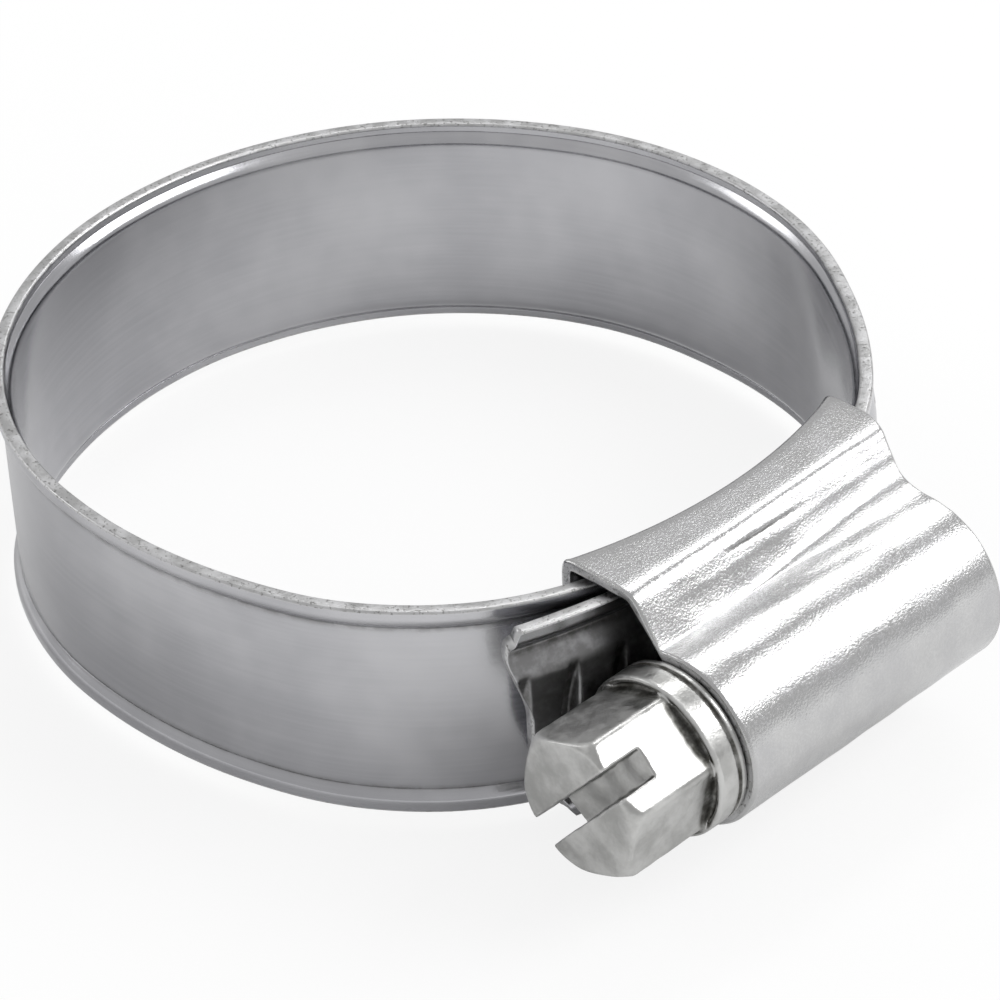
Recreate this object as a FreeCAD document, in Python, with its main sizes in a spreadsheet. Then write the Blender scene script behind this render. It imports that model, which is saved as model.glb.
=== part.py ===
"""Worm-drive hose clamp: raised-edge strip ring, pressed one-piece housing and slotted hexagon worm screw.

Frame: origin at the centre of the ring at half the strip's width, +X towards the housing,
+Y along the screw away from its head, +Z up across the strip.
Rotating about the screw's axis, the right-hand worm draws the free end of the strip
towards the screw head; the free end runs on an arc about the saddle's centre.
"""
import FreeCAD, Part
import math
import os
import re
import Sketcher

Vector = FreeCAD.Vector
# Two places count as one within this distance.
NEAR = 1e-6

SIZES = (
    # ring and strip section
    ("bore_radius", 21.05),
    ("strip_width", 12.0),
    ("strip_thickness", 0.7),
    ("rim_height", 0.6),
    ("rim_slope", 0.45),
    ("rim_flare", 0.36),
    ("land_width", 8.8),
    ("land_slope", 0.5),
    ("land_rise", 0.55),
    # thread grooves pressed in the strip
    ("thread_pitch", 2.65),
    ("groove_depth", 0.6),
    ("groove_floor", 0.8),
    ("groove_mouth", 1.5),
    ("groove_sweep", 9.0),
    ("groove_phase", -0.95),
    # housing
    ("saddle_radius", 40.0),
    ("saddle_relief", 0.1),
    ("housing_middle", -1.2),
    ("housing_length", 17.6),
    ("housing_wall", 0.6),
    ("seat_gap", 0.03),
    ("layer_gap", 0.3),
    ("edge_gap", 0.3),
    ("ridge_margin", 0.5),
    ("ridge_round", 0.7),
    ("waist_round", 1.0),
    ("bend_round", 0.45),
    ("flange_reach", 2.4),
    ("tool_margin", 1.0),
    ("waist_angle", 106.0),
    ("barrel_wall", 0.7),
    ("lip_length", 0.7),
    # worm screw
    ("worm_radius", 3.85),
    ("worm_clearance", 0.08),
    ("core_radius", 2.9),
    ("thread_crest", 0.55),
    ("thread_root", 1.45),
    ("thread_turns", 5.0),
    ("mesh_depth", 0.45),
    ("journal_radius", 2.3),
    ("end_float", 0.12),
    ("collar_radius", 4.35),
    ("collar_length", 1.9),
    ("collar_round", 0.3),
    ("moat_gap", 0.25),
    ("moat_width", 0.4),
    ("moat_depth", 0.35),
    ("hex_flats", 7.0),
    ("hex_length", 5.2),
    ("hex_turn", 50.0),
    ("hex_chamfer", 0.5),
    ("slot_width", 1.5),
    ("slot_depth", 2.35),
    # free end of the strip
    ("tail_reach", 15.0),
    ("tail_corner", 1.5),
    ("seam_place", 2.3),
    ("tongue_place", 1.4),
    # places where the round part of the ring gives way to its two shoulders
    ("head_shoulder", 255.0),
    ("far_shoulder", 60.0),
)

DERIVED = (
    ("half_width", "strip_width / 2"),
    ("root_level", "half_width - rim_height - rim_slope"),
    ("saddle_apex", "bore_radius + saddle_relief"),
    ("saddle_centre", "saddle_apex - saddle_radius"),
    ("saddle_back", "saddle_radius + housing_wall"),
    ("fixed_face", "saddle_back + seat_gap"),
    ("free_face", "fixed_face + strip_thickness + layer_gap"),
    ("land_face", "free_face + strip_thickness + land_rise"),
    ("screw_axis", "saddle_centre + land_face - mesh_depth + worm_radius"),
    ("barrel_bore", "worm_radius + worm_clearance"),
    ("barrel_radius", "barrel_bore + barrel_wall"),
    ("mouth_place", "housing_middle - housing_length / 2"),
    ("end_place", "housing_middle + housing_length / 2"),
    ("flange_level", "half_width + edge_gap + housing_wall"),
    ("flange_start", "bore_radius - flange_reach"),
    ("waist_place", "screw_axis + barrel_radius * cos(waist_angle)"),
    ("waist_level", "barrel_radius * sin(waist_angle)"),
    ("neck_radius", "core_radius + housing_wall"),
    ("trim_face", "saddle_apex + housing_wall / 2"),
    ("tool_start", "flange_start - tool_margin"),
    ("tool_level", "flange_level + tool_margin"),
    ("ridge_place", "saddle_centre + free_face + strip_thickness + rim_flare + ridge_margin"),
    ("collar_back", "mouth_place - end_float"),
    ("collar_front", "collar_back - collar_length"),
    ("moat_radius", "hex_flats / 2 + moat_gap"),
    ("helix_angle", "atan(thread_pitch / (2 * pi * worm_radius))"),
    ("feed_step", "180 * thread_pitch / (pi * (land_face - mesh_depth))"),
)


def make_sheet(doc):
    """Spreadsheet with the chosen sizes first and the sizes that follow from them below."""
    sheet = doc.addObject("Spreadsheet::Sheet", "Sizes")
    row = 1
    for alias, value in SIZES:
        sheet.set("A%d" % row, alias)
        sheet.set("B%d" % row, repr(value))
        sheet.setAlias("B%d" % row, alias)
        row += 1
    for alias, formula in DERIVED:
        sheet.set("A%d" % row, alias)
        sheet.set("B%d" % row, "=" + formula)
        sheet.setAlias("B%d" % row, alias)
        row += 1
    doc.recompute()
    return sheet


def linked(formula):
    """Formula in sheet aliases, each of which holds an underscore, as another object refers to them."""
    return re.sub(r"[a-z]+(?:_[a-z]+)+", lambda found: "Sizes." + found.group(), formula)


def bind(target, prop, formula):
    """Bind one property of an object to a formula in sheet aliases."""
    target.setExpression(prop, linked(formula))


class Values:
    """Numbers of the sheet, read by alias."""

    def __init__(self, sheet):
        self.sheet = sheet

    def __call__(self, formula):
        value = self.sheet.evalExpression(linked(formula).replace("Sizes.", ""))
        return float(getattr(value, "Value", value))


def new_body(doc, label):
    """Empty body with its own label."""
    body = doc.addObject("PartDesign::Body", label)
    body.Label = label
    return body


def origin_feature(body, role):
    """Origin plane or axis of a body."""
    return next(item for item in body.Origin.OriginFeatures if item.Role == role)


def new_sketch(body, name, plane, shift="0", turn=None, slide=None):
    """Sketch on an origin plane, moved along its normal by shift, slid along and turned about its axes."""
    sketch = body.newObject("Sketcher::SketchObject", name)
    sketch.AttachmentSupport = [(origin_feature(body, plane), "")]
    sketch.MapMode = "FlatFace"
    bind(sketch, "AttachmentOffset.Base.z", shift)
    if slide:
        bind(sketch, "AttachmentOffset.Base.y", slide)
    if turn:
        sketch.AttachmentOffset = FreeCAD.Placement(Vector(), FreeCAD.Rotation(Vector(1, 0, 0), 1))
        bind(sketch, "AttachmentOffset.Rotation.Angle", turn)
    return sketch


def polygon(sketch, values, corners):
    """Closed outline whose corners are pairs of formulas."""
    points = [Vector(values(across), values(along), 0) for across, along in corners]
    first = sketch.GeometryCount
    count = len(points)
    for index, start in enumerate(points):
        sketch.addGeometry(Part.LineSegment(start, points[(index + 1) % count]), False)
    for index in range(count):
        following = first + (index + 1) % count
        sketch.addConstraint(Sketcher.Constraint("Coincident", first + index, 2, following, 1))
    for index, (across, along) in enumerate(corners):
        pin_point(sketch, first + index, 1, points[index], across, along)
    return first


def pin_point(sketch, element, end, point, across, along):
    """Hold one point of an element at two formulas."""
    for kind, value, formula in (("DistanceX", point.x, across), ("DistanceY", point.y, along)):
        number = sketch.addConstraint(Sketcher.Constraint(kind, -1, 1, element, end, value))
        bind(sketch, "Constraints[%d]" % number, formula)


def circle(sketch, values, across, along, radius):
    """Circle whose centre and radius are formulas."""
    centre = Vector(values(across), values(along), 0)
    element = sketch.addGeometry(Part.Circle(centre, Vector(0, 0, 1), values(radius)), False)
    pin_point(sketch, element, 3, centre, across, along)
    number = sketch.addConstraint(Sketcher.Constraint("Radius", element, values(radius)))
    bind(sketch, "Constraints[%d]" % number, radius)


def upright_axis(sketch, values, across):
    """Construction line parallel to the sketch's vertical axis, used as an axis of revolution."""
    start = Vector(values(across), 0, 0)
    finish = Vector(values(across), 1, 0)
    element = sketch.addGeometry(Part.LineSegment(start, finish), True)
    pin_point(sketch, element, 1, start, across, "0")
    pin_point(sketch, element, 2, finish, across, "1")


def feature(body, kind, name, profile, **formulas):
    """Sketch-based feature with its sizes bound to formulas."""
    item = body.newObject("PartDesign::" + kind, name)
    item.Profile = profile
    profile.Visibility = False
    for prop, formula in formulas.items():
        bind(item, prop, formula)
    return item


def about(item, axis_object, axis_name):
    """Set the axis of a revolved feature."""
    item.ReferenceAxis = (axis_object, [axis_name])
    return item


def must_cut(doc, body, item, label):
    """Recompute and make sure that a cut took something away from the body."""
    doc.recompute()
    if item.Shape.Volume >= item.BaseFeature.Shape.Volume:
        raise RuntimeError("%s cuts nothing from %s" % (label, body.Label))


def tangent_at(angle, clockwise):
    """Unit direction of travel on a circle at an angle in degrees."""
    turn = -1.0 if clockwise else 1.0
    return Vector(-turn * math.sin(math.radians(angle)), turn * math.cos(math.radians(angle)), 0)


def on_circle(centre, radius, angle):
    """Point of a circle at an angle in degrees."""
    return centre + Vector(radius * math.cos(math.radians(angle)), radius * math.sin(math.radians(angle)), 0)


def arc_from(start, direction, finish):
    """Arc that leaves start along direction and ends at finish, less than half a turn long."""
    normal = Vector(-direction.y, direction.x, 0)
    chord = finish - start
    radius = chord.dot(chord) / (2 * normal.dot(chord))
    centre = start + normal * radius
    middle = (start - centre) + (finish - centre)
    middle.normalize()
    return Part.Arc(start, centre + middle * abs(radius), finish)


def two_arcs(start, leave, finish, arrive):
    """Pair of arcs joined smoothly, from one place and direction to another."""
    chord = finish - start
    bisector = leave + arrive
    spread = 2 * (1 - leave.dot(arrive))
    along = chord.dot(bisector)
    reach = (-along + math.sqrt(along * along + spread * chord.dot(chord))) / spread
    joint = (start + finish + (leave - arrive) * reach) * 0.5
    first = arc_from(start, leave, joint)
    turned = first.tangent(first.LastParameter)[0]
    if turned.dot(joint - start) < 0:
        turned = turned * -1
    return first, arc_from(joint, turned, finish)


def arc_between(centre, radius, begin, end):
    """Arc of a circle between two angles in degrees, in the order given."""
    middle = (begin + end) / 2
    return Part.Arc(on_circle(centre, radius, begin), on_circle(centre, radius, middle),
                    on_circle(centre, radius, end))


def place_angle(values, radius, place):
    """Angle, in degrees about the saddle's centre, of a place given by its Y."""
    return math.degrees(math.asin((place - values("housing_middle")) / radius))


def strip_routes(values):
    """Plan routes of the strip's inner face from the point opposite the housing.

    The head route runs round to the end that is fixed in the housing. The far route runs round to the
    seam where the free end begins. The land route is the far route up to the housing.
    """
    ring = Vector(0, 0, 0)
    saddle = Vector(values("saddle_centre"), values("housing_middle"), 0)
    bore = values("bore_radius")
    fixed = values("fixed_face")
    free = values("free_face")
    leave = values("head_shoulder")
    mouth = place_angle(values, fixed, values("mouth_place"))
    tongue = place_angle(values, fixed, values("tongue_place"))
    head = [arc_between(ring, bore, 180, leave)]
    head += two_arcs(on_circle(ring, bore, leave), tangent_at(leave, False),
                     on_circle(saddle, fixed, mouth), tangent_at(mouth, False))
    head.append(arc_between(saddle, fixed, mouth, tongue))
    leave = values("far_shoulder")
    seam = place_angle(values, free, values("seam_place + layer_gap"))
    far = [arc_between(ring, bore, 180, leave)]
    far += two_arcs(on_circle(ring, bore, leave), tangent_at(leave, True),
                    on_circle(saddle, free, seam), tangent_at(seam, True))
    return head, far


def spine(body, name, arcs):
    """Sketch of a route made of arcs that follow one another."""
    sketch = new_sketch(body, name, "XY_Plane")
    for arc in arcs:
        element = sketch.addGeometry(arc, False)
        sketch.addConstraint(Sketcher.Constraint("Block", element))
    sketch.Visibility = False
    return sketch


def strip_outline(face, sign):
    """Corners of the strip's section: a flat web with both edges bent outwards.

    face is the formula of the inner face and sign is + or - for outwards along the sketch's first axis.
    """
    def out(offset):
        return "%s %s (%s)" % (face, sign, offset)

    back = "strip_thickness"
    raised = "rim_flare"
    half = [
        (out("0"), "root_level"),
        (out(raised), "half_width - rim_height"),
        (out(raised), "half_width"),
        (out(back + " + " + raised), "half_width"),
        (out(back + " + " + raised), "half_width - rim_height"),
        (out(back), "root_level"),
    ]
    lower = [(across, "-(%s)" % along) for across, along in reversed(half)]
    return half + lower


def land_outline(face, sign):
    """Corners of the raised land between the strip's bent edges, sunk a little into the web."""
    def out(offset):
        return "%s %s (%s)" % (face, sign, offset)

    base = out("strip_thickness / 2")
    foot = out("strip_thickness")
    top = out("strip_thickness + land_rise")
    half = [
        (base, "land_width / 2"),
        (foot, "land_width / 2"),
        (top, "land_width / 2 - land_slope"),
    ]
    lower = [(across, "-(%s)" % along) for across, along in reversed(half)]
    return half + lower


def sweep(body, name, profile, route):
    """Sweep a section along a flat route."""
    item = body.newObject("PartDesign::AdditivePipe", name)
    item.Profile = profile
    item.Spine = (route, [])
    item.Mode = "Standard"
    profile.Visibility = False
    return item


def groove_tool(doc, body, values, name, land, sign, tilt, shift):
    """One pointed thread groove, the trace of a slanted disc pressed into the land."""
    sketch = new_sketch(body, name + "_sketch", "XY_Plane", turn=tilt, slide=shift)

    def out(offset):
        return "%s %s (%s)" % (land, sign, offset)

    floor = out("-groove_depth")
    clear = out("groove_depth")
    widen = "(groove_mouth / 2 + (groove_mouth - groove_floor) / 2)"
    polygon(sketch, values, [
        (floor, "groove_floor / 2"), (clear, widen), (clear, "-" + widen), (floor, "-groove_floor / 2")])
    upright_axis(sketch, values, out("groove_sweep - groove_depth"))
    item = about(feature(body, "Groove", name, sketch), sketch, "Axis0")
    item.Angle = 360
    must_cut(doc, body, item, name)
    return item


def repeat(body, name, originals, axis, count, step, backwards):
    """Copies of a feature round an axis at a constant step in degrees."""
    pattern = body.newObject("PartDesign::PolarPattern", name)
    pattern.Originals = originals
    pattern.Axis = axis
    pattern.Occurrences = count
    bind(pattern, "Angle", "(%d) * (%s)" % (count - 1, step))
    pattern.Reversed = backwards
    body.Tip = pattern
    return pattern


def make_band(doc, values):
    """Ring of raised-edge strip, from the end fixed in the housing round to the seam of the free end."""
    body = new_body(doc, "band")
    head, far = strip_routes(values)
    section = new_sketch(body, "band_section", "XZ_Plane")
    polygon(section, values, strip_outline("-bore_radius", "-"))
    sweep(body, "band_head_run", section, spine(body, "band_head_route", head))
    sweep(body, "band_far_run", section, spine(body, "band_far_route", far))
    land = new_sketch(body, "band_land_section", "XZ_Plane")
    polygon(land, values, land_outline("-bore_radius", "-"))
    sweep(body, "band_land", land, spine(body, "band_land_route", far[:2]))
    doc.recompute()
    first = groove_tool(doc, body, values, "band_groove", "-bore_radius - strip_thickness - land_rise", "-",
                        "helix_angle", "0")
    step = "180 * thread_pitch / (pi * (bore_radius + strip_thickness + land_rise))"
    count = int((180 - values("far_shoulder")) / values(step)) + 1
    repeat(body, "band_grooves", [first], (origin_feature(body, "Z_Axis"), [""]), count, step, True)
    return body


def make_tail(doc, values):
    """Threaded free end of the strip, from the seam inside the housing to its rounded tip."""
    body = new_body(doc, "band_tail")
    section = new_sketch(body, "tail_section", "XZ_Plane", "-(housing_middle)")
    face = "saddle_centre + free_face"
    polygon(section, values, strip_outline(face, "+"))
    upright_axis(section, values, "saddle_centre")
    land = new_sketch(body, "tail_land_section", "XZ_Plane", "-(housing_middle)")
    polygon(land, values, land_outline(face, "+"))
    upright_axis(land, values, "saddle_centre")
    reach = "asin((tail_reach + housing_middle) / free_face)"
    back = "asin((seam_place - housing_middle) / free_face)"
    for name, profile in (("tail_strip", section), ("tail_land", land)):
        for suffix, span, backwards in (("_front", reach, True), ("_back", back, False)):
            item = about(feature(body, "Revolution", name + suffix, profile), profile, "Axis0")
            bind(item, "Angle", span)
            item.Reversed = backwards
    doc.recompute()
    round_tip(doc, body, values)
    first = groove_tool(doc, body, values, "tail_groove", "saddle_centre + land_face", "+",
                        "-helix_angle", "housing_middle + groove_phase")
    axis = (land, ["Axis0"])
    ahead = int((values("tail_reach + housing_middle + groove_phase") - values("groove_mouth"))
                / values("thread_pitch"))
    behind = int((values("seam_place - housing_middle - groove_phase") - values("groove_mouth / 2"))
                 / values("thread_pitch"))
    repeat(body, "tail_grooves_ahead", [first], axis, ahead + 1, "feed_step", True)
    repeat(body, "tail_grooves_behind", [first], axis, behind + 1, "feed_step", False)
    return body


def round_edges(doc, body, name, radius, chosen):
    """Fillet every edge of the body for which chosen is true."""
    base = body.Tip
    names = ["Edge%d" % number for number, edge in enumerate(base.Shape.Edges, 1) if chosen(edge)]
    if not names:
        raise RuntimeError("%s finds no edge on %s" % (name, body.Label))
    item = body.newObject("PartDesign::Fillet", name)
    item.Base = (base, names)
    bind(item, "Radius", radius)
    body.Tip = item
    doc.recompute()


def round_tip(doc, body, values):
    """Round off both corners of the strip's free tip."""
    tip = min(body.Shape.Faces, key=lambda face: face.CenterOfMass.y)

    def at_corner(edge):
        in_tip = all(vertex.distToShape(tip)[0] < NEAR for vertex in edge.Vertexes)
        return in_tip and abs(abs(edge.CenterOfMass.z) - values("half_width")) < NEAR

    round_edges(doc, body, "tail_corners", "tail_corner", at_corner)


def make_housing(doc, values):
    """Pressed housing: a saddle plate, a flange over each edge of the strip, a waist and a round barrel."""
    body = new_body(doc, "housing")
    half = [
        ("flange_start", "flange_level"),
        ("ridge_place", "flange_level"),
        ("waist_place", "waist_level"),
    ]
    outer = new_sketch(body, "flange_section", "XZ_Plane", "-(mouth_place)")
    mirror = [(across, "-(%s)" % along) for across, along in reversed(half)]
    polygon(outer, values, half + mirror)
    feature(body, "Pad", "flanges", outer, Length="housing_length").Reversed = True
    barrel = new_sketch(body, "barrel_section", "XZ_Plane", "-(mouth_place)")
    circle(barrel, values, "screw_axis", "0", "barrel_radius")
    feature(body, "Pad", "barrel", barrel, Length="housing_length").Reversed = True
    doc.recompute()
    round_folds(doc, body, values)
    hollow_housing(doc, body, values)
    plate = new_sketch(body, "saddle_section", "XZ_Plane", "-(housing_middle)")
    polygon(plate, values, [
        ("saddle_apex", "flange_level"), ("saddle_apex + housing_wall", "flange_level"),
        ("saddle_apex + housing_wall", "-flange_level"), ("saddle_apex", "-flange_level")])
    upright_axis(plate, values, "saddle_centre")
    item = about(feature(body, "Revolution", "saddle", plate), plate, "Axis0")
    bind(item, "Angle", "2 * asin(housing_length / 2 / saddle_radius)")
    item.Midplane = True
    doc.recompute()
    round_bends(doc, body, values)
    return body


def round_folds(doc, body, values):
    """Round the long outer ridges of the flanges and the hollow folds of the waist."""
    def along(place, level):
        def chosen(edge):
            middle = edge.CenterOfMass
            at_level = abs(abs(middle.z) - values(level)) < NEAR
            return at_level and abs(middle.x - values(place)) < NEAR
        return chosen

    round_edges(doc, body, "ridge_rounds", "ridge_round", along("ridge_place", "flange_level"))
    round_edges(doc, body, "waist_rounds", "waist_round", along("waist_place", "waist_level"))


def round_bends(doc, body, values):
    """Round the bends in which the saddle plate turns up into the flanges."""
    def on_bend(edge):
        at_level = abs(abs(edge.CenterOfMass.z) - values("flange_level")) < NEAR
        return at_level and abs(getattr(edge.Curve, "Radius", 0) - values("saddle_radius")) < NEAR

    round_edges(doc, body, "bend_rounds", "bend_round", on_bend)


def hollow_housing(doc, body, values):
    """Open the channel for the strip and the bore for the worm, and trim the flanges on the saddle's arc."""
    channel = new_sketch(body, "channel_section", "XZ_Plane", "-(mouth_place)")
    half = [
        ("tool_start", "half_width + edge_gap"),
        ("ridge_place - housing_wall / 2", "half_width + edge_gap"),
        ("screw_axis + neck_radius * cos(waist_angle)", "neck_radius * sin(waist_angle)"),
    ]
    mirror = [(across, "-(%s)" % along) for across, along in reversed(half)]
    polygon(channel, values, half + mirror)
    cut = feature(body, "Pocket", "channel", channel)
    cut.Type = "ThroughAll"
    must_cut(doc, body, cut, "channel")
    bore = new_sketch(body, "bore_section", "XZ_Plane", "-(mouth_place + lip_length)")
    circle(bore, values, "screw_axis", "0", "barrel_bore")
    cut = feature(body, "Pocket", "worm_bore", bore, Length="housing_length - 2 * lip_length")
    must_cut(doc, body, cut, "worm bore")
    mouth = new_sketch(body, "mouth_section", "XZ_Plane", "-(mouth_place)")
    circle(mouth, values, "screw_axis", "0", "core_radius + worm_clearance")
    cut = feature(body, "Pocket", "mouth_hole", mouth, Length="lip_length")
    must_cut(doc, body, cut, "mouth hole")
    tail = new_sketch(body, "journal_section", "XZ_Plane", "-(end_place)")
    circle(tail, values, "screw_axis", "0", "journal_radius + worm_clearance")
    cut = feature(body, "Pocket", "journal_hole", tail, Length="lip_length")
    cut.Reversed = True
    must_cut(doc, body, cut, "journal hole")
    trim = new_sketch(body, "trim_section", "XZ_Plane", "-(housing_middle)")
    polygon(trim, values, [
        ("tool_start - tool_margin", "tool_level"), ("trim_face", "tool_level"),
        ("trim_face", "-tool_level"), ("tool_start - tool_margin", "-tool_level")])
    upright_axis(trim, values, "saddle_centre")
    cut = about(feature(body, "Groove", "flange_trim", trim), trim, "Axis0")
    cut.Angle = 90
    cut.Midplane = True
    must_cut(doc, body, cut, "flange trim")


def make_screw(doc, values):
    """Worm screw: end journal, threaded core, collar and slotted hexagon head."""
    body = new_body(doc, "worm_screw")
    shape = new_sketch(body, "screw_profile", "XY_Plane")
    steps = [
        ("0", "collar_front"),
        ("collar_radius", "collar_front"),
        ("collar_radius", "collar_back"),
        ("core_radius", "collar_back"),
        ("core_radius", "end_place - lip_length - end_float"),
        ("journal_radius", "end_place - lip_length - end_float"),
        ("journal_radius", "end_place - worm_clearance"),
        ("0", "end_place - worm_clearance"),
    ]
    polygon(shape, values, [("screw_axis + (%s)" % across, along) for across, along in steps])
    upright_axis(shape, values, "screw_axis")
    turned = about(feature(body, "Revolution", "screw_body", shape), shape, "Axis0")
    turned.Angle = 360
    doc.recompute()
    round_collar(doc, body, values)
    cut_moat(doc, body, values)
    add_thread(doc, body, values)
    add_head(doc, body, values)
    return body


def round_collar(doc, body, values):
    """Round both rims of the collar."""
    def on_rim(edge):
        return abs(getattr(edge.Curve, "Radius", 0) - values("collar_radius")) < NEAR and edge.Closed

    round_edges(doc, body, "collar_rounds", "collar_round", on_rim)


def cut_moat(doc, body, values):
    """Cut the round recess in the collar's front face from which the hexagon rises."""
    sketch = new_sketch(body, "moat_section", "XY_Plane")
    inner = "screw_axis + moat_radius - moat_width / 2"
    outer = "screw_axis + moat_radius + moat_width / 2"
    polygon(sketch, values, [
        (inner, "collar_front - moat_depth"), (inner, "collar_front + moat_depth"),
        (outer, "collar_front + moat_depth"), (outer, "collar_front - moat_depth")])
    upright_axis(sketch, values, "screw_axis")
    moat = about(feature(body, "Groove", "moat", sketch), sketch, "Axis0")
    moat.Angle = 360
    must_cut(doc, body, moat, "moat")


def add_thread(doc, body, values):
    """Right-hand worm thread, in step with the grooves of the strip's free end."""
    sketch = new_sketch(body, "thread_section", "XY_Plane")
    start = "(housing_middle + groove_phase - 2 * thread_pitch)"
    root = "screw_axis - core_radius + worm_clearance"
    crest = "screw_axis - worm_radius"
    polygon(sketch, values, [
        (root, start + " - thread_root / 2"), (crest, start + " - thread_crest / 2"),
        (crest, start + " + thread_crest / 2"), (root, start + " + thread_root / 2")])
    upright_axis(sketch, values, "screw_axis")
    thread = about(feature(body, "AdditiveHelix", "worm_thread", sketch), sketch, "Axis0")
    thread.Mode = "pitch-turns-angle"
    bind(thread, "Pitch", "thread_pitch")
    bind(thread, "Turns", "thread_turns")
    thread.LeftHanded = False
    body.Tip = thread
    doc.recompute()


def add_head(doc, body, values):
    """Hexagon with a chamfered end and a screwdriver slot across it."""
    sketch = new_sketch(body, "hex_section", "XZ_Plane", "-(collar_front)")
    corners = []
    for corner in range(6):
        turn = "(hex_turn + %d)" % (30 + 60 * corner)
        reach = "hex_flats / 2 / cos(30)"
        corners.append(("screw_axis + %s * cos(%s)" % (reach, turn), "%s * sin(%s)" % (reach, turn)))
    polygon(sketch, values, corners)
    feature(body, "Pad", "hexagon", sketch, Length="hex_length")
    end = "collar_front - hex_length"
    cone = new_sketch(body, "hex_chamfer_section", "XY_Plane")
    polygon(cone, values, [
        ("screw_axis + hex_flats / 2", end + " - hex_chamfer / 2"),
        ("screw_axis + hex_flats / 2", end),
        ("screw_axis + hex_flats / 2 + hex_chamfer * 2", end + " + hex_chamfer * 2"),
        ("screw_axis + hex_flats / 2 + hex_chamfer * 2", end + " - hex_chamfer / 2")])
    upright_axis(cone, values, "screw_axis")
    chamfer = about(feature(body, "Groove", "hex_chamfer_cut", cone), cone, "Axis0")
    chamfer.Angle = 360
    must_cut(doc, body, chamfer, "hexagon chamfer")
    slot = new_sketch(body, "slot_section", "XZ_Plane", "-(%s)" % end)
    corners = []
    for long_way, short_way in ((1, 1), (-1, 1), (-1, -1), (1, -1)):
        across = "(%d) * hex_flats * cos(hex_turn) - (%d) * slot_width / 2 * sin(hex_turn)" % (long_way, short_way)
        along = "(%d) * hex_flats * sin(hex_turn) + (%d) * slot_width / 2 * cos(hex_turn)" % (long_way, short_way)
        corners.append(("screw_axis + " + across, along))
    polygon(slot, values, corners)
    cut = feature(body, "Pocket", "screwdriver_slot", slot, Length="slot_depth")
    must_cut(doc, body, cut, "screwdriver slot")


def check(doc, pieces):
    """Stop on any failed object and on any piece that is not one valid solid."""
    for item in doc.Objects:
        if "Invalid" in item.State or "Error" in item.State:
            raise RuntimeError("%s failed: %s" % (item.Label, item.getStatusString()))
    for piece in pieces:
        shape = piece.Shape
        if shape.isNull() or not shape.isValid() or len(shape.Solids) != 1:
            raise RuntimeError("%s is not one valid solid" % piece.Label)


def main():
    """Build the clamp and write one file for each piece."""
    doc = FreeCAD.newDocument("hose_clamp")
    values = Values(make_sheet(doc))
    pieces = [make(doc, values) for make in (make_band, make_tail, make_housing, make_screw)]
    doc.recompute()
    check(doc, pieces)
    os.makedirs("parts", exist_ok=True)
    for piece in pieces:
        piece.Shape.exportStep(os.path.join("parts", piece.Label + ".step"))
        box = piece.Shape.BoundBox
        print("%s: %.1f x %.1f x %.1f mm, volume %.1f" % (
            piece.Label, box.XLength, box.YLength, box.ZLength, piece.Shape.Volume))


main()
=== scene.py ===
"""Worm-drive hose clamp dressed for rendering: plated strip ring, pressed housing, worm screw and studio.

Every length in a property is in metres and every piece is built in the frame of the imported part:
+X from the ring's centre towards the housing, +Y along the screw away from its head, +Z across the strip.
"""

import functools
import math

import bmesh
import bpy
import numpy as np
from mathutils import Matrix, Vector


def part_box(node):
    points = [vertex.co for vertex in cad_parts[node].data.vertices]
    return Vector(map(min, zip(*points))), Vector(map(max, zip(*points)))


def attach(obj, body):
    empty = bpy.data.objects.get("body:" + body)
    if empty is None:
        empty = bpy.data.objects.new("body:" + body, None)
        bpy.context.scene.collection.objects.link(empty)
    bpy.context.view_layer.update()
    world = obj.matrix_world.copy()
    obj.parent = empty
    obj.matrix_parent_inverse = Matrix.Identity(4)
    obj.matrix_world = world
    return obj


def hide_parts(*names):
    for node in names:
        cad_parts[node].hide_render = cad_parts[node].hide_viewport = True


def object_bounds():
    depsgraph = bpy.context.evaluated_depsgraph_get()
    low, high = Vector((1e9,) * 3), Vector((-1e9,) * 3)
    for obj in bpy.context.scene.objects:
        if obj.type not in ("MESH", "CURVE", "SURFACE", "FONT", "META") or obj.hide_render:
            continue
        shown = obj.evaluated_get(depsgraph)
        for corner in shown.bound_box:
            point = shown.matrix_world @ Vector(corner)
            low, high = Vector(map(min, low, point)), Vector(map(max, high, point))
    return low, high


bl_info = {
    "name": "Hose clamp",
    "version": (1, 0, 0),
    "blender": (4, 5, 0),
    "location": "3D View > Sidebar > Hose clamp",
    "description": "Builds the strip, housing and worm screw of a hose clamp and its studio",
    "category": "Add Mesh",
}

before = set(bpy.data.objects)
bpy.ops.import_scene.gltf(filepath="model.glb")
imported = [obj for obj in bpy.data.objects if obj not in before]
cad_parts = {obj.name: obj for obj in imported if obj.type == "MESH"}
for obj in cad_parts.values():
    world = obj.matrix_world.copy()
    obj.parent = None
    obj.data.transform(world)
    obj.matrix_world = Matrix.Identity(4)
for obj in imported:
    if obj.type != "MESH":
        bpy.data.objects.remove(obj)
CAD_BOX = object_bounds()
BAND_LOW, BAND_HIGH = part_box("band")
TAIL_LOW, TAIL_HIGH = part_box("band_tail")
HOUSING_LOW, HOUSING_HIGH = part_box("housing")
SCREW_LOW, SCREW_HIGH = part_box("worm_screw")

MM = 0.001
TURN = 2 * math.pi

# the sheet of the strip, and the points across its bent edges and rounded tips
SHEET = 0.7 * MM
RIM_FLARE = 0.36 * MM
BEND_POINTS = 15
TIP_POINTS = 4
RIM_COLUMNS = 2 * (BEND_POINTS + TIP_POINTS)
BAND_WEB_COLUMNS = 61
TAIL_WEB_COLUMNS = 81
TAIL_STATIONS = 230

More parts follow.
